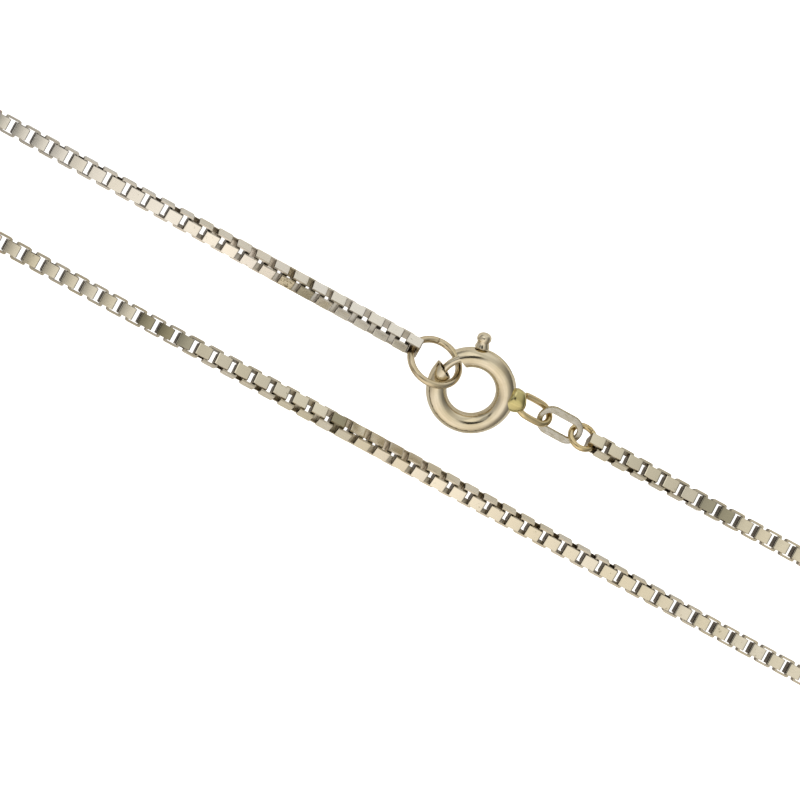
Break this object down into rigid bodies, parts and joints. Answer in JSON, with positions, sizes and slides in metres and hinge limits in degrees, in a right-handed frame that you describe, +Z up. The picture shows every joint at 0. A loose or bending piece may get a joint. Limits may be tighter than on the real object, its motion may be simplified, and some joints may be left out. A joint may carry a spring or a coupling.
{
  "type": "box chain necklace",
  "caption": "Box chain necklace of interlocking square links closed by a spring ring clasp with a jump ring and an oval tag, laid flat in two strands.",
  "frame": {"origin": "middle of the laid-out necklace's outline, on the surface that it lies on", "axes": "+X along the two straight strands, from the clasp towards the oval tag; +Y across the strands, towards the one with the clasp; +Z up from the surface"},
  "size_m": [0.1918, 0.0482, 0.0028],
  "materials": {
    "chain_gold": "pale yellow gold, polished flats with thin rolled rims, lightly worn",
    "clasp_gold": "pale yellow gold, high polish",
    "tag_gold": "silver-pale gold, finely scratched",
    "ring_gold": "yellow gold, polished"
  },
  "bodies": {
    "necklace": {"clasp_ring": "clasp_gold", "jump_ring": "clasp_gold", "oval_tag": "tag_gold", "tag_ring": "ring_gold", "box_links": "chain_gold", "chain_loops": "chain_gold"},
    "trigger": {"clasp_trigger": "clasp_gold"}
  },
  "joints": [
    {"name": "knob_turn", "type": "hinge", "parent": "necklace", "child": "trigger", "pos_m": [0.00376, 0.00272, 0.00134], "axis": [0, 0.279, -0.9603], "range_deg": [0, 50], "stiffness_Nm_per_rad": 0.001, "springref_deg": -45.84}
  ]
}
